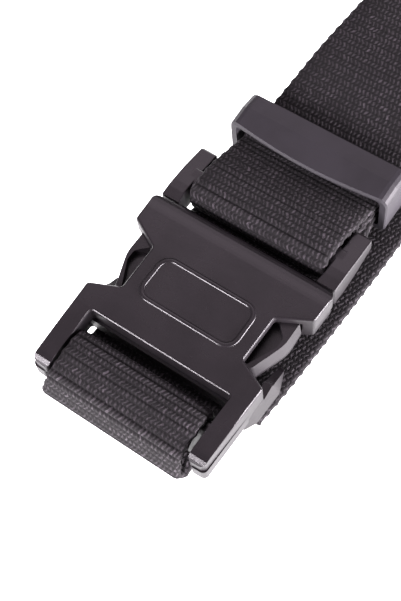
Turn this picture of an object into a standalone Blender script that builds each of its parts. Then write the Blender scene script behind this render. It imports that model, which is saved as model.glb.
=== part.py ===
"""Tactical belt: 50 mm webbing closed by a side release buckle, with a strap keeper.

The belt lies fastened and folded flat: the upper strands run from the buckle to
the far turn, and the lower strands come back along the floor under the buckle.
+X runs from the female half to the far turn, +Y to the buckle's left side and +Z
up. The origin is the bottom centre of the whole belt. Tables are in millimetres,
measured from the middle of the buckle's mouth, and everything hangs from one
empty that stands there.
"""

import math

import bmesh
import bpy
from mathutils import Vector

MM = 0.001

# Place of the buckle's mouth, seen from the bottom centre of the belt
MOUTH_X = -115.105
MOUTH_Y = 2.975

# Clearance between pieces that touch
GAP = 0.3

# Webbing
WEB_WIDTH = 50.0
WEB_THICK = 2.6
WEB_EDGE = 0.6
# Length along and what each edge gives way there: pinched by the arms, spread on the floor
WEB_SPREAD = [(0.0, -0.9), (33.5, -0.9), (37.0, -0.2), (46.0, 1.3), (60.0, 0.6), (85.0, 0.0)]
BEND_STEP = math.radians(15.0)
BEND_RUN = 2.5
RUN_STEP = 12.0
LAYER = WEB_THICK + GAP + 0.1

# Heights of the strands' middles
FLOOR_Z = WEB_THICK / 2
RETURN_Z = FLOOR_Z + LAYER
KEEPER_MAIN_Z = 9.95
KEEPER_RETURN_Z = KEEPER_MAIN_Z - LAYER - 0.2
KEEPER_TAIL_Z = KEEPER_MAIN_Z + LAYER

# Far turn
TURN_X = 289.8
TURN_R = 5.5
TURN_TOP_Z = RETURN_Z + 2 * TURN_R

# Female half
PLATE_TOP = 17.1
PARTING_Z = 11.2
BOTTOM_Z = 6.2
CHEEK_BOTTOM_Z = 3.3
CAVITY_Z = (8.8, 14.7)

# Male half
INSERT_Z = (CAVITY_Z[0] + GAP, CAVITY_Z[1] - GAP)

# Keeper
KEEPER_Y = -1.6
KEEPER_HALF = 29.0
KEEPER_WALL = 2.4
KEEPER_ROOF = 1.9
KEEPER_FLOOR = 2.1
KEEPER_Z = (3.0, 21.3)
KEEPER_BOW = 2.3


def clear_scene():
    """Removes what an opened file holds."""
    for obj in list(bpy.data.objects):
        bpy.data.objects.remove(obj, do_unlink=True)


def material(name, color, roughness, metallic=0.0):
    """Makes one Principled material."""
    mat = bpy.data.materials.new(name)
    mat.use_nodes = True
    shader = mat.node_tree.nodes["Principled BSDF"]
    shader.inputs["Base Color"].default_value = (*color, 1.0)
    shader.inputs["Roughness"].default_value = roughness
    shader.inputs["Metallic"].default_value = metallic
    return mat


def rounded(corners, steps=4):
    """Turns corners of (x, y, radius) into points, with an arc at each corner."""
    points = []
    count = len(corners)
    for i, (x, y, radius) in enumerate(corners):
        here = Vector((x, y))
        before = (Vector(corners[i - 1][:2]) - here).normalized()
        after = (Vector(corners[(i + 1) % count][:2]) - here).normalized()
        half = before.angle(after) / 2
        if radius <= 0 or half > math.radians(88):
            points.append(here)
            continue
        reach = radius / math.tan(half)
        centre = here + (before + after).normalized() * radius / math.sin(half)
        start = here + before * reach - centre
        sweep = start.angle_signed(here + after * reach - centre)
        for k in range(steps + 1):
            angle = -sweep * k / steps
            turned = Vector((
                start.x * math.cos(angle) - start.y * math.sin(angle),
                start.x * math.sin(angle) + start.y * math.cos(angle),
            ))
            points.append(centre + turned)
    return points


def inset(points, distance):
    """Moves a closed outline inwards; the outline runs counterclockwise."""
    moved = []
    count = len(points)
    for i, here in enumerate(points):
        a = (here - points[i - 1]).normalized()
        b = (points[(i + 1) % count] - here).normalized()
        normal_a = Vector((-a.y, a.x))
        normal_b = Vector((-b.y, b.x))
        mitre = (normal_a + normal_b).normalized()
        moved.append(here + mitre * distance / max(0.35, mitre.dot(normal_a)))
    return moved


def solid(name, rings, mat, place, inner_rings=None):
    """Closes a body over rings of equal count: capped, or round a hole of its own rings."""
    mesh = bpy.data.meshes.new(name)
    bm = bmesh.new()
    made = [[bm.verts.new(Vector(p) * MM) for p in ring] for ring in rings]
    count = len(made[0])
    if inner_rings:
        back = [[bm.verts.new(Vector(p) * MM) for p in ring] for ring in reversed(inner_rings)]
        made += back + made[:1]
    for low, high in zip(made, made[1:]):
        for i in range(count):
            j = (i + 1) % count
            bm.faces.new((low[i], low[j], high[j], high[i]))
    if not inner_rings:
        bm.faces.new(list(reversed(made[0])))
        bm.faces.new(made[-1])
    bmesh.ops.recalc_face_normals(bm, faces=bm.faces)
    bm.to_mesh(mesh)
    bm.free()
    mesh.shade_smooth()
    mesh.set_sharp_from_angle(angle=math.radians(30.0))
    obj = bpy.data.objects.new(name, mesh)
    bpy.context.scene.collection.objects.link(obj)
    obj.data.materials.append(mat)
    obj.parent = place
    return obj


def slab(name, points, levels, mat, place):
    """Stacks an outline at levels of (z, inset)."""
    rings = [[(p.x, p.y, z) for p in inset(points, d)] for z, d in levels]
    return solid(name, rings, mat, place)


def between(low, high, levels):
    """Rings between two outlines of equal count, at levels of (z, share of the way)."""
    return [[(*p.lerp(q, share), z) for p, q in zip(low, high)] for z, share in levels]


def prism(name, points, y_from, y_to, mat, place):
    """Runs an outline in x and z along the belt's width."""
    rings = [[(p.x, y, p.y) for p in points] for y in (y_from, y_to)]
    return solid(name, rings, mat, place)


def combine(target, operand, operation):
    """Adds a Boolean and hides its operand."""
    operand.hide_render = True
    operand.display_type = "WIRE"
    step = target.modifiers.new(operand.name, "BOOLEAN")
    step.operation = operation
    step.solver = "EXACT"
    step.object = operand


def mirrored(half):
    """Closes a half outline, from +Y down the list, with its mirror image."""
    return half + [(x, -y, radius) for x, y, radius in reversed(half)]


# Corner x, half width and corner radius, from the mouth to the slot
TOP_OUTLINE = [
    (1.7, 24.0, 8.0),
    (0.8, 33.2, 2.2),
    (-10.0, 32.8, 1.2),
    (-15.6, 22.3, 1.2),
    (-31.5, 22.1, 1.0),
    (-35.9, 32.0, 1.4),
    (-64.6, 30.9, 1.8),
    (-64.8, 25.2, 1.4),
    (-42.8, 25.3, 0.9),
]
BOTTOM_OUTLINE = [
    (0.4, 32.6, 1.4),
    (-9.8, 32.3, 1.0),
    (-14.2, 24.6, 1.2),
    (-31.2, 23.6, 1.2),
    (-35.4, 31.8, 1.4),
    (-46.0, 31.7, 2.0),
    (-65.0, 31.3, 1.6),
    (-65.2, 26.2, 1.2),
    (-43.8, 25.9, 1.0),
]
# The lower shell's cheek beside the slot: corner x and half width high up and at its
# underside, and one radius for both
CHEEK_CORNERS = [
    (-23.0, 28.9, -23.0, 28.9, 0.2),
    (-23.6, 30.0, -23.6, 30.8, 0.5),
    (-31.0, 30.3, -30.2, 33.4, 1.6),
    (-41.4, 31.2, -41.6, 33.0, 2.0),
    (-46.0, 30.6, -45.4, 31.2, 0.6),
    (-46.0, 28.9, -45.4, 28.9, 0.2),
]
# How much nearer the slot and the middle the left cheek stands
CHEEK_SHIFT = {1: (2.3, 0.85), -1: (0.0, 0.0)}
# The cheek in x and z, with the ramp on its top that falls towards the mouth
CHEEK_SIDE = [
    (-22.0, CHEEK_BOTTOM_Z, 0.0),
    (-22.0, 4.0, 0.0),
    (-24.2, 4.6, 1.0),
    (-35.6, 11.5, 0.0),
    (-44.0, 11.5, 0.0),
    (-47.0, 8.0, 1.0),
    (-47.0, CHEEK_BOTTOM_Z, 0.0),
]
CHEEK_HALF = (27.0, 34.5)
# Mouth and side windows, where the prongs and their pads sit
CAVITY_OUTLINE = [
    (2.0, 29.3, 0.0),
    (-11.6, 29.3, 0.0),
    (-11.6, 40.0, 0.0),
    (-37.6, 40.0, 0.0),
    (-34.6, 24.0, 0.0),
]
# Corner x, z and radius of the bar between the arms, and of its nose under the webbing
END_BAR = [(-51.0, 8.2, 1.2), (-51.0, 14.0, 1.8), (-55.0, 13.8, 0.6), (-55.0, 8.4, 0.6)]
END_BAR_HALF = 28.5
END_NOSE = [(-53.0, 8.2, 0.0), (-53.0, 14.0, 0.0), (-58.5, 14.0, 2.4), (-61.5, 11.5, 1.0), (-61.0, 8.2, 0.8)]
END_NOSE_HALF = 23.0
# Outlines in x and z of what is taken off the plate's top at its mouth and along the arms
MOUTH_ROLL = [
    (-5.6, 17.16),
    (-3.4, 17.04),
    (-1.6, 16.86),
    (-0.2, 16.5),
    (0.9, 16.0),
    (2.8, 14.8),
    (2.8, 18.6),
    (-5.6, 18.6),
]
TIP_ROLL = [
    (-41.5, 17.16),
    (-41.5, 18.6),
    (-67.0, 18.6),
    (-67.0, 12.4),
    (-65.2, 14.1),
    (-64.1, 15.3),
    (-62.9, 16.0),
    (-61.2, 16.35),
    (-50.0, 16.78),
    (-43.4, 17.04),
]
ROLL_HALF = 36.0


def female_half(mat, place):
    """Front and back plates in one moulding, with two arms and the end bar."""
    body = slab(
        "female_half",
        rounded(mirrored(TOP_OUTLINE)),
        [(PARTING_Z, 0.0), (16.2, 0.0), (16.75, 0.15), (17.0, 0.4), (PLATE_TOP, 0.8)],
        mat, place,
    )
    back = slab(
        "female_back",
        rounded(mirrored(BOTTOM_OUTLINE)),
        [(BOTTOM_Z, 0.6), (BOTTOM_Z + 0.6, 0.0), (PARTING_Z + 0.4, 0.0)],
        mat, place,
    )
    combine(body, back, "UNION")
    for side in (1, -1):
        inner, outer = CHEEK_HALF
        cheek = prism(f"female_cheek_{side}", rounded(CHEEK_SIDE), inner * side, outer * side, mat, place)
        back_by, in_by = CHEEK_SHIFT[side]
        foot = rounded([(x - back_by, (y - in_by) * side, r) for _, _, x, y, r in CHEEK_CORNERS])
        head = rounded([(x - back_by, (y - in_by) * side, r) for x, y, _, _, r in CHEEK_CORNERS])
        levels = [(CHEEK_BOTTOM_Z - 1.0, 0.0), (CHEEK_BOTTOM_Z + 0.6, 0.0), (PARTING_Z + 1.0, 1.0)]
        flare = solid(f"female_flare_{side}", between(foot, head, levels), mat, place)
        combine(cheek, flare, "INTERSECT")
        combine(body, cheek, "UNION")
    for name, outline, half in (("bar", END_BAR, END_BAR_HALF), ("nose", END_NOSE, END_NOSE_HALF)):
        bar = prism(f"female_end_{name}", rounded(outline), -half, half, mat, place)
        combine(body, bar, "UNION")
    cavity = slab(
        "female_cavity",
        rounded(mirrored(CAVITY_OUTLINE)),
        [(CAVITY_Z[0], 0.0), (CAVITY_Z[1], 0.0)],
        mat, place,
    )
    combine(body, cavity, "DIFFERENCE")
    for name, outline in (("mouth", MOUTH_ROLL), ("tip", TIP_ROLL)):
        points = [Vector(corner) for corner in outline]
        roll = prism(f"female_{name}_roll", points, -ROLL_HALF, ROLL_HALF, mat, place)
        combine(body, roll, "DIFFERENCE")
    return body


# Station x, underside, top, inner and outer half width of the ears
EAR_STATIONS = [
    (2.1, 7.0, 14.6, 25.6, 31.5),
    (2.5, 6.2, 15.2, 25.3, 31.9),
    (6.0, 6.1, 15.4, 25.8, 32.0),
    (9.0, 6.1, 15.4, 25.8, 32.0),
    (15.0, 6.9, 14.9, 25.8, 32.0),
    (23.6, 9.0, 13.7, 25.8, 31.8),
    (24.3, 9.6, 13.1, 26.1, 31.3),
]
EAR_EDGE = 0.45
# Outlines in x and z of the three bars between the ears
SHOULDER_BAR = [(-1.4, 9.2, 0.4), (-1.4, 11.4, 0.4), (4.4, 11.2, 1.0), (4.4, 9.2, 0.8)]
CROSS_BAR = [(9.0, 9.4, 2.2), (9.0, 15.1, 2.4), (16.8, 15.1, 1.8), (16.8, 9.4, 1.8)]
REAR_BAR = [(20.8, 9.7, 1.0), (20.8, 12.9, 1.2), (24.2, 12.7, 1.2), (24.2, 9.7, 1.0)]
BAR_HALF = 28.0
# Plan of one prong with its release pad: corner x and y low down and on top, and radius
PRONG_CORNERS = [
    (0.9, 21.5, 0.9, 21.1, 0.0),
    (-6.5, 22.0, -6.6, 21.7, 2.0),
    (-11.3, 28.3, -11.1, 27.9, 0.0),
    (-12.5, 29.7, -11.9, 28.8, 0.5),
    (-20.4, 30.2, -20.3, 28.9, 12.0),
    (-32.2, 25.9, -31.7, 24.8, 2.0),
    (-33.8, 21.5, -33.2, 20.9, 2.0),
    (-30.0, 15.0, -29.8, 15.6, 2.0),
    (-20.0, 11.0, -20.0, 11.4, 6.0),
    (0.9, 10.9, 0.9, 11.3, 0.0),
]
PRONG_LEVELS = [(INSERT_Z[0], 0.0), (10.2, 0.0), (13.8, 0.85), (INSERT_Z[1], 1.0)]
# Plan of the guide between the prongs
GUIDE_OUTLINE = [(1.7, 9.5, 0.0), (-20.0, 9.5, 4.0), (-31.0, 6.0, 1.5)]
GUIDE_Z = (9.3, 13.9)
# Hollow in the pad's top
RECESS_OUTLINE = [
    (-14.5, 18.9, 0.0),
    (-14.9, 24.0, 0.6),
    (-18.4, 27.6, 2.2),
    (-22.2, 27.6, 3.0),
    (-31.4, 23.2, 1.0),
    (-31.9, 18.9, 0.0),
]
RECESS_FLOOR = 12.0


def male_half(mat, place):
    """Two ears with the strap's bars, and the guide and prongs in the mouth."""
    body = prism("male_half", rounded(CROSS_BAR), -BAR_HALF, BAR_HALF, mat, place)
    for name, outline in (("male_shoulder", SHOULDER_BAR), ("male_rear", REAR_BAR)):
        bar = prism(name, rounded(outline), -BAR_HALF, BAR_HALF, mat, place)
        combine(body, bar, "UNION")
    for side in (1, -1):
        rings = []
        for x, low, high, inner, outer in EAR_STATIONS:
            section = rounded([
                (inner, low, EAR_EDGE), (outer, low, EAR_EDGE),
                (outer, high, EAR_EDGE), (inner, high, EAR_EDGE),
            ])
            rings.append([(x, p.x * side, p.y) for p in section])
        ear = solid(f"male_ear_{side}", rings, mat, place)
        combine(body, ear, "UNION")
        low = rounded([(x, y * side, r) for x, y, _, _, r in PRONG_CORNERS])
        top = rounded([(x, y * side, r) for _, _, x, y, r in PRONG_CORNERS])
        prong = solid(f"male_prong_{side}", between(low, top, PRONG_LEVELS), mat, place)
        hollow = [(x, y * side, r) for x, y, r in RECESS_OUTLINE]
        if side < 0:
            hollow.reverse()
        recess = slab(
            f"male_recess_{side}",
            rounded(hollow),
            [(RECESS_FLOOR, 0.55), (INSERT_Z[1] + 2.0, 0.0)],
            mat, place,
        )
        combine(prong, recess, "DIFFERENCE")
        combine(body, prong, "UNION")
    guide = slab(
        "male_guide",
        rounded(mirrored(GUIDE_OUTLINE)),
        [(GUIDE_Z[0], 0.0), (GUIDE_Z[1], 0.0)],
        mat, place,
    )
    combine(body, guide, "UNION")
    return body


# Station x, top, rim inset and share of the front edge's bow, along the keeper
KEEPER_STATIONS = [
    (33.9, 20.1, 0.35, 1.0),
    (34.4, 20.5, 0.0, 1.0),
    (40.4, KEEPER_Z[1], 0.0, 0.0),
    (46.5, 20.6, 0.0, 0.0),
    (47.0, 20.2, 0.6, 0.0),
]
KEEPER_LIP = 0.9
KEEPER_STEPS = 14


def keeper_ring(x, half, low, high, radii, bow):
    """One section of the keeper's outside or inside, its top bowed to the buckle."""
    corners = [(half, low, radii[0]), (half, high, radii[1])]
    for k in range(1, KEEPER_STEPS):
        corners.append((half * 0.85 * (1 - 2 * k / KEEPER_STEPS), high, 0.0))
    corners += [(-half, high, radii[1]), (-half, low, radii[0])]
    ring = []
    for p in rounded(corners):
        lift = max(0.0, (p.y - low) / (high - low)) ** 3
        reach = KEEPER_BOW * bow * lift * math.cos(0.5 * math.pi * p.x / KEEPER_HALF)
        ring.append((x - reach, KEEPER_Y + p.x, p.y))
    return ring


def keeper(mat, place):
    """A rigid loop that holds the tail on the strap."""
    outside = []
    inside = []
    floor = KEEPER_Z[0] + KEEPER_FLOOR
    roof = KEEPER_Z[1] - KEEPER_ROOF
    for x, top, rim, bow in KEEPER_STATIONS:
        half = KEEPER_HALF - rim
        outside.append(keeper_ring(x, half, KEEPER_Z[0] + rim, top - rim, (2.0, 3.4), bow))
        wall = KEEPER_HALF - KEEPER_WALL
        inside.append(keeper_ring(x, wall, floor, min(roof, top - KEEPER_LIP), (1.0, 2.0), bow))
    return solid("keeper", outside, mat, place, inside)


# Route of the webbing's middle line: corner x, z, bend radius and sideways place
ROUTE = [
    # Fixed end under the end bar, up through the slot and over the bar
    (-59.0, 6.6, 0.0, 0.3),
    (-49.4, 6.6, 2.2, 0.3),
    (-49.4, 15.7, 3.4, 0.4),
    (-57.5, 15.7, 10.0, 0.45),
    (-65.0, 13.7, 1.9, 0.7),
    # Fold on the floor, and the strand back under the buckle to the far turn
    (-69.2, FLOOR_Z, 3.6, 1.45),
    (-52.0, FLOOR_Z, 12.0, 0.8),
    (-44.5, RETURN_Z, 12.0, 0.0),
    (-18.0, RETURN_Z, 0.0, -0.5),
    (6.0, RETURN_Z, 0.0, -0.1),
    (24.5, RETURN_Z, 20.0, -2.9),
    (33.0, KEEPER_RETURN_Z, 20.0, -2.1),
    (49.0, KEEPER_RETURN_Z, 25.0, -2.6),
    (62.0, RETURN_Z, 25.0, -4.2),
    (120.0, RETURN_Z, 0.0, -10.5),
    (200.0, RETURN_Z, 0.0, -13.5),
    (TURN_X + TURN_R, RETURN_Z, TURN_R, -13.5),
    (TURN_X + TURN_R, TURN_TOP_Z, TURN_R, -13.5),
    # Upper strand, through the keeper, round the cross bar and back as the tail
    (200.0, TURN_TOP_Z, 300.0, -13.5),
    (76.0, 13.0, 60.0, -4.6),
    (50.0, KEEPER_MAIN_Z, 30.0, -2.9),
    (33.0, KEEPER_MAIN_Z, 20.0, -1.6),
    (24.5, 7.7, 20.0, -0.5),
    (7.4, 7.7, 2.6, -0.3),
    (7.4, 16.8, 3.2, -0.3),
    (18.5, 16.8, 10.0, -0.6),
    (34.0, KEEPER_TAIL_Z, 20.0, -1.8),
    (50.0, KEEPER_TAIL_Z, 30.0, -2.9),
    (76.0, 13.0 + LAYER, 60.0, -4.6),
    (200.0, TURN_TOP_Z + LAYER, 300.0, -13.5),
    # Outside of the far turn, and the tail's end on the floor
    (TURN_X + TURN_R + LAYER, TURN_TOP_Z + LAYER, TURN_R + LAYER, -13.5),
    (TURN_X + TURN_R + LAYER, FLOOR_Z, TURN_R + LAYER, -13.5),
    (200.0, FLOOR_Z, 0.0, -14.0),
    (34.0, FLOOR_Z, 0.0, -12.0),
    (-21.0, FLOOR_Z, 0.0, -10.0),
    (-41.0, FLOOR_Z, 0.0, -8.5),
]


def bend(before, here, after, radius):
    """The points of one corner of the route, as an arc of about equal steps."""
    a = (before - here).normalized()
    b = (after - here).normalized()
    half = a.angle(b) / 2
    if radius <= 0 or half > math.radians(89.9):
        return [here]
    turn = math.pi - 2 * half
    steps = math.ceil(max(turn / BEND_STEP, radius * turn / BEND_RUN))
    centre = here + (a + b).normalized() * radius / math.sin(half)
    start = here + a * radius / math.tan(half) - centre
    stop = here + b * radius / math.tan(half) - centre
    sweep = start.angle_signed(stop)
    arc = []
    for k in range(steps + 1):
        angle = -sweep * k / steps
        arc.append(centre + Vector((
            start.x * math.cos(angle) - start.y * math.sin(angle),
            start.x * math.sin(angle) + start.y * math.cos(angle),
        )))
    return arc


def webbing_line():
    """Points (x, z) and sideways places along the webbing's middle line."""
    corners = [Vector(row[:2]) for row in ROUTE]
    points = [corners[0]]
    marks = [0.0]
    travelled = 0.0
    for i in range(1, len(corners)):
        if i + 1 < len(corners):
            arc = bend(corners[i - 1], corners[i], corners[i + 1], ROUTE[i][2])
        else:
            arc = [corners[i]]
        first = points[-1]
        run = (arc[0] - first).length
        pieces = max(1, round(run / RUN_STEP))
        for k in range(1, pieces + 1):
            points.append(first.lerp(arc[0], k / pieces))
        points += arc[1:]
        travelled += run + sum((q - p).length for p, q in zip(arc, arc[1:])) / 2
        marks.append(travelled)
        travelled += sum((q - p).length for p, q in zip(arc, arc[1:])) / 2
    sides = [row[3] for row in ROUTE]
    slopes = [0.0]
    for i in range(1, len(marks) - 1):
        slopes.append((sides[i + 1] - sides[i - 1]) / (marks[i + 1] - marks[i - 1]))
    slopes.append((sides[-1] - sides[-2]) / (marks[-1] - marks[-2]))
    return points, marks, sides, slopes


def sideways(s, marks, sides, slopes):
    """The sideways place at a length along the line, on a smooth curve."""
    i = 0
    while i + 2 < len(marks) and s > marks[i + 1]:
        i += 1
    span = marks[i + 1] - marks[i]
    t = min(1.0, (s - marks[i]) / span)
    return (
        sides[i] * (2 * t ** 3 - 3 * t ** 2 + 1)
        + slopes[i] * span * (t ** 3 - 2 * t ** 2 + t)
        + sides[i + 1] * (3 * t ** 2 - 2 * t ** 3)
        + slopes[i + 1] * span * (t ** 3 - t ** 2)
    )


def spread(s):
    """How far each edge of the webbing stands out at a length along it."""
    for (start, low), (stop, high) in zip(WEB_SPREAD, WEB_SPREAD[1:]):
        if s <= stop:
            return low + (high - low) * (s - start) / (stop - start)
    return 0.0


def webbing(mat, place):
    """One length of flat webbing, from its fixed end to the tail's cut end."""
    points, marks, sides, slopes = webbing_line()
    half = WEB_WIDTH / 2
    deep = WEB_THICK / 2
    section = [
        (half, deep - WEB_EDGE), (half - WEB_EDGE, deep),
        (WEB_EDGE - half, deep), (-half, deep - WEB_EDGE),
        (-half, WEB_EDGE - deep), (WEB_EDGE - half, -deep),
        (half - WEB_EDGE, -deep), (half, WEB_EDGE - deep),
    ]
    rings = []
    travelled = 0.0
    for i, here in enumerate(points):
        if i:
            travelled += (here - points[i - 1]).length
        into = (here - points[max(0, i - 1)]).normalized() if i else Vector((0.0, 0.0))
        out = (points[i + 1] - here).normalized() if i + 1 < len(points) else Vector((0.0, 0.0))
        along = (into + out).normalized()
        mitre = max(0.5, along.dot(out if out.length else into))
        place_y = sideways(travelled, marks, sides, slopes)
        ahead = sideways(travelled + 1.0, marks, sides, slopes)
        middle = Vector((here.x, place_y, here.y))
        stretch = math.hypot(1.0, ahead - place_y) * (1.0 + spread(travelled) / half)
        across = Vector((0.0, stretch, 0.0))
        proud = Vector((-along.y, 0.0, along.x)) / mitre
        rings.append([middle + across * w + proud * d for w, d in section])
    return solid("webbing", rings, mat, place)


def main():
    clear_scene()
    place = bpy.data.objects.new("buckle_mouth", None)
    bpy.context.scene.collection.objects.link(place)
    place.location = (MOUTH_X * MM, MOUTH_Y * MM, 0.0)
    buckle_black = material("buckle_plastic", (0.022, 0.020, 0.022), 0.33)
    keeper_black = material("keeper_plastic", (0.024, 0.023, 0.025), 0.48)
    webbing_black = material("webbing_weave", (0.012, 0.011, 0.012), 0.85)
    female_half(buckle_black, place)
    male_half(buckle_black, place)
    keeper(keeper_black, place)
    webbing(webbing_black, place)


main()
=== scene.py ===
"""A fastened duty belt of 50 mm webbing with a side release buckle and a strap keeper.

The belt lies folded flat on a pale floor, as it does in the frame: the buckle at one
end, the strands running back from it to the far turn. Sizes are in millimetres from
the middle of the buckle's mouth, and place() turns them into the frame's metres.
"""

import math

import bmesh
import bpy
import numpy as np
from mathutils import Matrix, Vector


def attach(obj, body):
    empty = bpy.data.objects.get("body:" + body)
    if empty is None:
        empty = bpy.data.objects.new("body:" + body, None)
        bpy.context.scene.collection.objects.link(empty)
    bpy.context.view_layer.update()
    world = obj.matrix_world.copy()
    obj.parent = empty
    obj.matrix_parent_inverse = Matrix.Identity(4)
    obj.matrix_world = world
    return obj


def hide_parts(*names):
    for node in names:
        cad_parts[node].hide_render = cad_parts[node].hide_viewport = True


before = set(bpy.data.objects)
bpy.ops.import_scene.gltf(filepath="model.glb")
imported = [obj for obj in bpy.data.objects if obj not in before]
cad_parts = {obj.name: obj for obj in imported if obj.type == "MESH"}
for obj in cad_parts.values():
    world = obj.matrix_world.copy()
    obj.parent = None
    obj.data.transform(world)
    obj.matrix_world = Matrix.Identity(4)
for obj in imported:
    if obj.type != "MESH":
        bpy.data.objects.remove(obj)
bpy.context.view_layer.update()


# Camera
# A stills camera above the buckle's right side, looking down on the belt at about
# sixty degrees and turned a little, so that the strands leave by the upper right.
MOUTH_IN_FRAME = (-115.105, 2.975)


def place(x, y, z):
    """A point given from the buckle's mouth, in the frame."""
    return Vector(((x + MOUTH_IN_FRAME[0]) / 1000, (y + MOUTH_IN_FRAME[1]) / 1000, z / 1000))


view_turn = math.radians(-46.783)
view_height = math.radians(63.009)
view_roll = math.radians(-9.172)
back = Vector((
    math.sin(view_turn) * math.cos(view_height),
    -math.cos(view_turn) * math.cos(view_height),
    math.sin(view_height),
))
level_right = Vector((0, 0, 1)).cross(back).normalized()
level_up = back.cross(level_right)
right = math.cos(view_roll) * level_right + math.sin(view_roll) * level_up
up = math.cos(view_roll) * level_up - math.sin(view_roll) * level_right
camera = bpy.data.objects.new("camera", bpy.data.cameras.new("camera"))
camera.data.lens = 71.88
camera.data.sensor_width = 36
camera.data.clip_start = 0.01
camera.data.clip_end = 20
looks_at = place(-22.632, -0.671, 17.1)
stand_off = 0.35661
turned = Matrix((right, up, back)).transposed().to_4x4()
turned.translation = looks_at + back * stand_off
camera.matrix_world = turned
bpy.context.scene.collection.objects.link(camera)
bpy.context.scene.camera = camera
bpy.context.scene.view_settings.view_transform = "Standard"


# Webbing
# One length of heavy woven nylon, held by its turns round the buckle's bars. Thick
# weft rows lie across it every 2 mm, and the warp yarns cross each row as short
# slanting floats.
WEB_WIDTH = 50.0
WEB_THICK = 2.6
ROW = 2.05
FLOAT = 1.45
RIB_DEPTH = 0.26
LAYER = 3.0
FLOOR_Z = 1.3
RETURN_Z = FLOOR_Z + LAYER
KEEPER_MAIN_Z = 9.95
KEEPER_RETURN_Z = KEEPER_MAIN_Z - LAYER - 0.2
KEEPER_TAIL_Z = KEEPER_MAIN_Z + LAYER
TURN_X = 295.3
TURN_R = 5.5
TURN_TOP_Z = RETURN_Z + 2 * TURN_R
BAR_X = 7.4
BAR_LOW_Z = 7.7
BAR_TOP_Z = 16.8

# Corner x, z, bend radius and sideways place of the middle line
WEB_ROUTE = [
    # Fixed end under the end bar, up through the slot, over the bar and down to the fold
    (-59.0, 6.6, 0.0, 0.3),
    (-49.4, 6.6, 2.2, 0.3),
    (-49.4, 15.7, 3.4, 0.4),
    (-57.5, 15.7, 10.0, 0.45),
    (-65.0, 13.7, 1.9, 0.7),
    (-69.2, FLOOR_Z, 3.6, 1.45),
    # Back under the buckle and through the keeper to the far turn
    (-52.0, FLOOR_Z, 12.0, 0.8),
    (-44.5, RETURN_Z, 12.0, 0.0),
    (-18.0, RETURN_Z, 0.0, -0.5),
    (6.0, RETURN_Z, 0.0, -0.1),
    (24.5, RETURN_Z, 20.0, -2.9),
    (33.0, KEEPER_RETURN_Z, 20.0, -2.1),
    (49.0, KEEPER_RETURN_Z, 25.0, -2.6),
    (62.0, RETURN_Z, 25.0, -4.2),
    (120.0, RETURN_Z, 0.0, -10.5),
    (200.0, RETURN_Z, 0.0, -13.5),
    (TURN_X, RETURN_Z, TURN_R, -13.5),
    (TURN_X, TURN_TOP_Z, TURN_R, -13.5),
    # Upper strand through the keeper, round the cross bar and back as the tail
    (200.0, TURN_TOP_Z, 300.0, -13.5),
    (76.0, 13.0, 60.0, -4.6),
    (50.0, KEEPER_MAIN_Z, 30.0, -2.9),
    (33.0, KEEPER_MAIN_Z, 20.0, -1.6),
    (24.5, BAR_LOW_Z, 20.0, -0.5),
    (BAR_X, BAR_LOW_Z, 2.6, -0.3),
    (BAR_X, BAR_TOP_Z, 3.2, -0.3),
    (18.5, BAR_TOP_Z, 10.0, -0.6),
    (34.0, KEEPER_TAIL_Z, 20.0, -1.8),
    (50.0, KEEPER_TAIL_Z, 30.0, -2.9),
    (76.0, 13.0 + LAYER, 60.0, -4.6),
    (200.0, TURN_TOP_Z + LAYER, 300.0, -13.5),
    # Outside of the far turn, and the cut end on the floor under the slot
    (TURN_X + LAYER, TURN_TOP_Z + LAYER, TURN_R + LAYER, -13.5),
    (TURN_X + LAYER, FLOOR_Z, TURN_R + LAYER, -13.5),
    (200.0, FLOOR_Z, 0.0, -14.0),
    (34.0, FLOOR_Z, 0.0, -12.0),
    (-21.0, FLOOR_Z, 0.0, -10.0),
    (-41.0, FLOOR_Z, 0.0, -8.5),
]


def rounded_corner(before, here, after, radius):
    """Points of the arc that rounds one corner of the route."""
    a = (before - here).normalized()
    b = (after - here).normalized()
    half = a.angle(b) / 2
    if radius <= 0 or half > math.radians(89.9):
        return [here]
    steps = max(4, math.ceil(radius * (math.pi - 2 * half) / 0.3))
    centre = here + (a + b).normalized() * radius / math.sin(half)
    start = here + a * radius / math.tan(half) - centre
    stop = here + b * radius / math.tan(half) - centre
    sweep = start.angle_signed(stop)
    return [centre + Matrix.Rotation(-sweep * k / steps, 2) @ start for k in range(steps + 1)]


corners = [Vector(row[:2]) for row in WEB_ROUTE]
line = [corners[0]]
marks = [0.0]
travelled = 0.0
for i in range(1, len(corners)):
    arc = [corners[i]]
    if i + 1 < len(corners):
        arc = rounded_corner(corners[i - 1], corners[i], corners[i + 1], WEB_ROUTE[i][2])
    run = (arc[0] - line[-1]).length
    turn = sum((q - p).length for p, q in zip(arc, arc[1:]))
    line += arc
    marks.append(travelled + run + turn / 2)
    travelled += run + turn
line = np.array([tuple(p) for p in line])
keep = np.r_[True, np.linalg.norm(np.diff(line, axis=0), axis=1) > 1e-6]
line = line[keep]
along_line = np.r_[0.0, np.cumsum(np.linalg.norm(np.diff(line, axis=0), axis=1))]
WEB_LENGTH = along_line[-1]
marks[-1] = WEB_LENGTH
marks = np.array(marks)
sides = np.array([row[3] for row in WEB_ROUTE])
side_slopes = np.zeros(len(sides))
side_slopes[1:-1] = (sides[2:] - sides[:-2]) / (marks[2:] - marks[:-2])
side_slopes[-1] = (sides[-1] - sides[-2]) / (marks[-1] - marks[-2])


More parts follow.
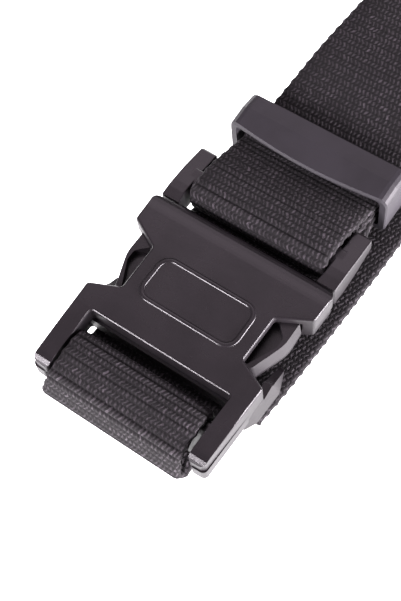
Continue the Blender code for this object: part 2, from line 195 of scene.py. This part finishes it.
def side_place(s):
    """The strip's sideways place at lengths along it, on a smooth curve."""
    i = np.clip(np.searchsorted(marks, s) - 1, 0, len(marks) - 2)
    span = marks[i + 1] - marks[i]
    t = np.clip((s - marks[i]) / span, 0.0, 1.0)
    return (
        sides[i] * (2 * t ** 3 - 3 * t ** 2 + 1)
        + side_slopes[i] * span * (t ** 3 - 2 * t ** 2 + t)
        + sides[i + 1] * (3 * t ** 2 - 2 * t ** 3)
        + side_slopes[i + 1] * span * (t ** 3 - t ** 2)
    )


# Rings stand closer together in the fold and in the tail near the buckle, which show best
FOLD_PART = 62.0
BEFORE_BAR = 12.0
AFTER_BAR = 92.0
bar_at = marks[[row[:2] for row in WEB_ROUTE].index((BAR_X, BAR_LOW_Z))]
stations = np.arange(0.0, WEB_LENGTH, ROW / 16)
near = (stations < FOLD_PART) | ((stations > bar_at - BEFORE_BAR) & (stations < bar_at + AFTER_BAR))
step_number = np.arange(len(stations))
s = np.r_[stations[np.where(near, step_number % 2 == 0, step_number % 4 == 0)], WEB_LENGTH]
ring_count = len(s)
mid_x = np.interp(s, along_line, line[:, 0])
mid_z = np.interp(s, along_line, line[:, 1])
ahead = np.stack([np.gradient(mid_x), np.gradient(mid_z)], 1)
ahead /= np.linalg.norm(ahead, axis=1)[:, None]
mid_y = side_place(s)
stretch = np.hypot(1.0, np.gradient(mid_y, s))
heading = np.unwrap(np.arctan2(ahead[:, 1], ahead[:, 0]))
# 0 where the strip is straight and 1 in its tight bends, where the rows part
bent = np.convolve(np.abs(np.gradient(heading, s)), np.ones(9) / 9, mode="same")
bent = np.clip(bent / 0.25, 0.0, 1.0)
# What each edge gives way: pinched between the arms, and spread where the fold meets the floor
spread = np.interp(s, (0.0, 33.5, 37.0, 46.0, 60.0, 85.0), (-0.9, -0.9, -0.2, 1.3, 0.6, 0.0))

# The section goes round from the left edge over the upper face: across, proud, rib share
half = WEB_WIDTH / 2
deep = WEB_THICK / 2
flat_marks = np.linspace(half - 1.6, 1.6 - half, 9)
upper = [(half - 0.35, 0.72, 0.3), (half - 0.8, 1.12, 0.7)]
upper += [(w, deep, 1.0) for w in flat_marks]
upper += [(-w, d, rib) for w, d, rib in reversed(upper[:2])]
section = [(half, 0.0, 0.0)] + upper + [(-half, 0.0, 0.0)] + [(-w, -d, rib) for w, d, rib in upper]
section = np.array(section)
beat = np.abs(2 * ((s / ROW) % 1.0) - 1.0)
rib = 1.0 - beat ** 3
selvedge = 0.17 * np.cos(math.pi * s / ROW) + 0.07 * np.cos(2 * math.pi * s / ROW) + spread
depth = RIB_DEPTH * (1.0 + 2.2 * bent)
points = np.zeros((ring_count, len(section), 3))
for k, (w, d, share) in enumerate(section):
    thick = d - np.sign(d) * depth * share * (1.0 - rib)
    wide = w + np.sign(w) * selvedge * min(1.0, abs(w) / half + 0.1 - abs(d) / deep * 0.35)
    points[:, k, 0] = mid_x - ahead[:, 1] * thick + MOUTH_IN_FRAME[0]
    points[:, k, 1] = mid_y + wide * stretch + MOUTH_IN_FRAME[1]
    points[:, k, 2] = mid_z + ahead[:, 0] * thick
points /= 1000
count = len(section)
ring, side = np.meshgrid(np.arange(ring_count - 1), np.arange(count), indexing="ij")
after = (side + 1) % count
quads = np.stack([
    ring * count + side, (ring + 1) * count + side,
    (ring + 1) * count + after, ring * count + after,
], -1).reshape(-1, 4)
caps = [list(range(count)), list(reversed(range((ring_count - 1) * count, ring_count * count)))]
mesh = bpy.data.meshes.new("webbing_strip")
mesh.from_pydata(points.reshape(-1, 3).tolist(), [], quads.tolist() + caps)
mesh.shade_smooth()

# Where each corner of a face lies on the cloth: round the strip, and along it
section_edges = np.diff(np.r_[section, section[:1]][:, :2], axis=0)
round_strip = np.r_[0.0, np.cumsum(np.linalg.norm(section_edges, axis=1))]
weave_place = np.zeros((len(mesh.loops), 2))
weave_place[:len(quads) * 4] = np.stack([
    np.stack([round_strip[side], s[ring]], -1), np.stack([round_strip[side], s[ring + 1]], -1),
    np.stack([round_strip[side + 1], s[ring + 1]], -1), np.stack([round_strip[side + 1], s[ring]], -1),
], 2).reshape(-1, 2)
weave_map = mesh.uv_layers.new(name="weave")
weave_map.data.foreach_set("uv", weave_place.astype(np.float32).ravel())
webbing = bpy.data.objects.new("webbing_strip", mesh)
bpy.context.scene.collection.objects.link(webbing)


class Node:
    """One output of a material's node. Sums written on it add Math nodes."""

    def __init__(self, tree, socket):
        self.tree = tree
        self.socket = socket

    def add(self, kind, choices=None, out=0, **inputs):
        """Adds a node: its choices are set first, then its inputs, with _ for a space."""
        node = self.tree.nodes.new(kind)
        for name, value in (choices or {}).items():
            setattr(node, name, value)
        for name, value in inputs.items():
            key = int(name[1:]) if name[0] == "n" and name[1:].isdigit() else name.replace("_", " ")
            if isinstance(value, Node):
                self.tree.links.new(value.socket, node.inputs[key])
            else:
                node.inputs[key].default_value = value
        return Node(self.tree, node.outputs[out])

    def maths(self, operation, *others):
        return self.add("ShaderNodeMath", {"operation": operation}, n0=self,
                        **{f"n{i + 1}": other for i, other in enumerate(others)})

    def __add__(self, other):
        return self.maths("ADD", other)

    __radd__ = __add__

    def __mul__(self, other):
        return self.maths("MULTIPLY", other)

    __rmul__ = __mul__

    def __sub__(self, other):
        return self.maths("SUBTRACT", other)

    def __rsub__(self, other):
        return self.maths("MULTIPLY", -1.0) + other

    def __truediv__(self, other):
        return self.maths("DIVIDE", other)

    def floor(self):
        return self.maths("FLOOR")

    def fraction(self):
        return self.maths("FRACT")

    def band(self, low, high):
        """0 below low and 1 above high, smoothly; low may be the larger of the two."""
        rising = {"interpolation_type": "SMOOTHSTEP"}
        if low < high:
            return self.add("ShaderNodeMapRange", rising, Value=self, From_Min=low, From_Max=high)
        return 1.0 - self.add("ShaderNodeMapRange", rising, Value=self, From_Min=high, From_Max=low)

    def parts(self):
        """The x, y and z of a vector output."""
        split = self.add("ShaderNodeSeparateXYZ", n0=self)
        node = split.socket.node
        return [Node(self.tree, node.outputs[i]) for i in range(3)]

    def blend(self, one, two):
        """A colour between one and two, by this output."""
        mixed = self.tree.nodes.new("ShaderNodeMix")
        mixed.data_type = "RGBA"
        self.tree.links.new(self.socket, mixed.inputs[0])
        mixed.inputs[6].default_value = (*one, 1.0)
        mixed.inputs[7].default_value = (*two, 1.0)
        return Node(self.tree, mixed.outputs[2])


def finish(name, specular=0.5):
    """A new material: its shader's node, and a Node to start sums from."""
    material = bpy.data.materials.new(name)
    material.use_nodes = True
    shader = material.node_tree.nodes["Principled BSDF"]
    shader.inputs["Specular IOR Level"].default_value = specular
    start = Node(material.node_tree, material.node_tree.nodes.new("ShaderNodeTexCoord").outputs["Object"])
    return material, shader, start


def wire(shader, **outputs):
    """Links outputs to the shader's inputs of those names."""
    for name, value in outputs.items():
        value.tree.links.new(value.socket, shader.inputs[name.replace("_", " ")])


weave, shader, start = finish("nylon_weave", specular=0.4)
cloth = start.add("ShaderNodeUVMap", {"uv_map": "weave"})
across, along, _ = cloth.parts()
# The lower face is woven like the upper one, so its floats slant the other way here
lower = across.maths("GREATER_THAN", float(round_strip[-1] / 2))
across = across * (1.0 - lower * 2.0)
row = along / ROW
row_number = row.floor()
odd = (row_number * 0.5).fraction() * 2.0
drift = start.add("ShaderNodeTexNoise", Vector=cloth, Scale=0.5, Detail=3.0)
in_row = row.fraction() - 0.5
sway = (in_row * (2 * math.pi)).maths("SINE")
step = across / FLOAT + odd * 0.5 + (drift - 0.5) * 0.9 + sway * 0.16
in_float = step.fraction() - 0.5
cell = start.add("ShaderNodeCombineXYZ", X=step.floor(), Y=row_number, Z=lower)
lot = start.add("ShaderNodeTexWhiteNoise", Vector=cell)
slant = 1.0 - odd * 1.25
long_way = (in_float * FLOAT * 0.55 * slant + in_row * ROW * 0.84) / (0.88 + 0.30 * lot)
short_way = (in_float * FLOAT * 0.84 - in_row * ROW * 0.55 * slant) / (0.27 + 0.10 * lot)
float_mask = (long_way * long_way + short_way * short_way).band(1.3, 0.1)
row_swell = (in_row * in_row).band(0.25, 0.05)
strands = start.add(
    "ShaderNodeTexNoise", Detail=2.0, Scale=1.0,
    Vector=start.add("ShaderNodeCombineXYZ", X=long_way * 1.2 + lot * 40.0, Y=short_way * 3.2, Z=row_number),
)
patchy = start.add("ShaderNodeTexNoise", Vector=cloth, Scale=0.9, Detail=4.0).band(0.3, 0.7)
fibre = start.add("ShaderNodeTexNoise", Vector=cloth, Scale=7.0, Detail=4.0)
streak = strands.band(0.35, 0.65)
# Painted glints: a few floats, picked at random, get colour up to 45 % lighter, standing in for a highlight.
painted_glint = 1.0 + lot.band(0.92, 0.98) * 0.45
# The colour is partly random tone and partly painted light: the floats' lighter colour is a painted
# highlight on the yarn tops, and the near-black ground between them is painted shade in the gaps between the
# yarns.
bright = float_mask * (0.25 + 0.75 * patchy) * (0.35 + 0.65 * streak) * (0.35 + 0.65 * lot) * painted_glint
# The fuzz lightens only the middle of each row, so the row edges keep the near-black ground as painted shade
# in the grooves between rows.
lit = bright + fibre.band(0.5, 0.8) * row_swell * 0.22
wire(
    shader,
    Base_Color=lit.blend((0.0062, 0.0050, 0.0060), (0.092, 0.077, 0.091)),
    Roughness=0.85 - bright * 0.4,
    Normal=start.add(
        "ShaderNodeBump",
        Height=float_mask * 0.7 + row_swell * 0.35 + streak * float_mask * 0.25 + fibre * 0.3,
        Strength=0.9, Distance=0.00026,
    ),
)
mesh.materials.append(weave)
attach(webbing, "root")
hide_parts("webbing")


# Buckle halves
# Both are moulded in black acetal, and the male half is latched in the female half.
# Their fine satin skin flows a little unevenly and carries small scuffs from use.
def moulded(name, color, rough, grain, scuffs):
    """A moulded black plastic: skin roughness, grain depth in mm and share of scuffs."""
    plastic, shader, start = finish(name)
    facing = start.add("ShaderNodeTexCoord", out=1)
    # The mould's upright walls come out a little duller than the tops
    wall = facing.parts()[2].maths("ABSOLUTE").band(0.8, 0.3)
    skin = start.add("ShaderNodeTexNoise", Vector=start, Scale=1900.0, Detail=2.0)
    flow = start.add("ShaderNodeTexNoise", Vector=start, Scale=70.0, Detail=3.0)
    wear = start.add("ShaderNodeTexNoise", Vector=start, Scale=420.0, Detail=4.0, Roughness=0.7)
    scratched = wear.band(0.66, 0.74) * scuffs
    lighter = tuple(c * 2.2 for c in color)
    wire(
        shader,
        Base_Color=(flow.band(0.3, 0.7) * 0.35 + scratched * 0.6).blend(color, lighter),
        Roughness=rough + (flow - 0.5) * 0.14 + scratched * 0.2 + wall * 0.2,
        Normal=start.add(
            "ShaderNodeBump",
            Height=skin * 0.5 + flow * 3.0 + scratched * 0.5,
            Strength=0.7, Distance=grain / 1000,
        ),
    )
    return plastic


buckle_finish = moulded("satin_acetal", (0.0104, 0.0086, 0.0102), 0.26, 0.05, 0.6)
for name in ("female_half", "male_half"):
    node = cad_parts[name]
    for slot_of_node in node.material_slots:
        slot_of_node.material = buckle_finish


# Bare panel
# A thin plain frame raised on the front plate, moulded in one with it of the same
# acetal. Nothing is printed or cut inside it.
PANEL_LENGTH = 15.0
PANEL_WIDTH = 34.0
PANEL_CORNER = 4.0
PANEL_AT = (-23.5, 0.0, 17.1)
CORNER_STEPS = 8
BEAD_TOP = 0.34
# One side of the bead from its foot upwards: how far from its middle, and how high
BEAD_SIDE = [(0.85, -0.15), (0.85, 0.0), (0.45, 0.24)]
panel_ring = []
for turn_x, turn_y, first in ((1, 1, 0), (-1, 1, 90), (-1, -1, 180), (1, -1, 270)):
    for k in range(CORNER_STEPS + 1):
        angle = math.radians(first + 90 * k / CORNER_STEPS)
        panel_ring.append((
            turn_x * (PANEL_LENGTH / 2 - PANEL_CORNER) + PANEL_CORNER * math.cos(angle),
            turn_y * (PANEL_WIDTH / 2 - PANEL_CORNER) + PANEL_CORNER * math.sin(angle),
        ))
bead = [(-w, h) for w, h in BEAD_SIDE] + [(0.0, BEAD_TOP)] + BEAD_SIDE[::-1]
made = bmesh.new()
rings = []
for i, (x, y) in enumerate(panel_ring):
    before = Vector(panel_ring[i - 1])
    following = Vector(panel_ring[(i + 1) % len(panel_ring)])
    outward = Vector(((following - before).y, -(following - before).x)).normalized()
    middle = Vector(PANEL_AT) + Vector((x, y, 0.0))
    rings.append([
        made.verts.new(place(*(middle + Vector((outward.x * w, outward.y * w, h)))))
        for w, h in bead
    ])
for one, two in zip(rings, rings[1:] + rings[:1]):
    for k in range(len(bead)):
        j = (k + 1) % len(bead)
        made.faces.new((one[k], two[k], two[j], one[j]))
bmesh.ops.recalc_face_normals(made, faces=made.faces)
mesh = bpy.data.meshes.new("bare_panel")
made.to_mesh(mesh)
made.free()
mesh.shade_smooth()
mesh.materials.append(buckle_finish)
panel = bpy.data.objects.new("bare_panel", mesh)
bpy.context.scene.collection.objects.link(panel)
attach(panel, "root")


# Strap keeper
# A rigid loop moulded in a duller black nylon, with a fine spark finish. It sits on
# the webbing by its fit alone, round three layers of it.
keeper_finish = moulded("matte_nylon", (0.0185, 0.0165, 0.0205), 0.46, 0.06, 0.3)
for slot_of_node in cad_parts["keeper"].material_slots:
    slot_of_node.material = keeper_finish


# Floor and light
# A white sheet that glows, so that the belt throws hardly any shadow. Two large
# soft lamps stand high behind it and grey its tops, and two stand lower at its sides
# and whiten the buckle's walls.
floor_mesh = bpy.data.meshes.new("floor")
floor_mesh.from_pydata(
    [(-3, -3, -0.0003), (3, -3, -0.0003), (3, 3, -0.0003), (-3, 3, -0.0003)], [], [(0, 1, 2, 3)],
)
floor = bpy.data.objects.new("floor", floor_mesh)
bpy.context.scene.collection.objects.link(floor)
sheet, shader, start = finish("white_sheet", specular=0.2)
shader.inputs["Base Color"].default_value = (0.9, 0.9, 0.9, 1.0)
shader.inputs["Roughness"].default_value = 0.9
shader.inputs["Emission Color"].default_value = (1.0, 1.0, 1.0, 1.0)
shader.inputs["Emission Strength"].default_value = 2.4
floor_mesh.materials.append(sheet)

world = bpy.data.worlds.new("soft_room")
bpy.context.scene.world = world
world.use_nodes = True
sky = world.node_tree.nodes["Background"]
sky.inputs["Color"].default_value = (1.0, 0.88, 0.97, 1.0)
sky.inputs["Strength"].default_value = 0.24


def soft_lamp(name, at, towards, size, watts, tint=(1.0, 0.93, 1.0)):
    """An oblong soft lamp at a place in metres, facing another."""
    lamp = bpy.data.objects.new(name, bpy.data.lights.new(name, "AREA"))
    lamp.data.shape = "RECTANGLE"
    lamp.data.size, lamp.data.size_y = size
    lamp.data.energy = watts
    lamp.data.color = tint
    lamp.location = at
    lamp.rotation_mode = "QUATERNION"
    lamp.rotation_quaternion = (Vector(towards) - Vector(at)).to_track_quat("-Z", "Y")
    bpy.context.scene.collection.objects.link(lamp)


soft_lamp("lamp_over", (0.35, 0.45, 1.4), (-0.1, 0, 0), (1.4, 1.4), 2.2, (1.0, 0.82, 0.93))
soft_lamp("lamp_far", (0.83, 0.50, 1.05), (-0.1, 0, 0), (0.85, 0.85), 2.3, (1.0, 0.85, 0.98))
soft_lamp("lamp_right", (0.0, -1.1, 0.12), (-0.1, 0, 0.01), (1.2, 0.22), 62)
soft_lamp("lamp_left", (-1.1, 0.40, 0.55), (-0.1, 0, 0), (0.36, 0.42), 24)
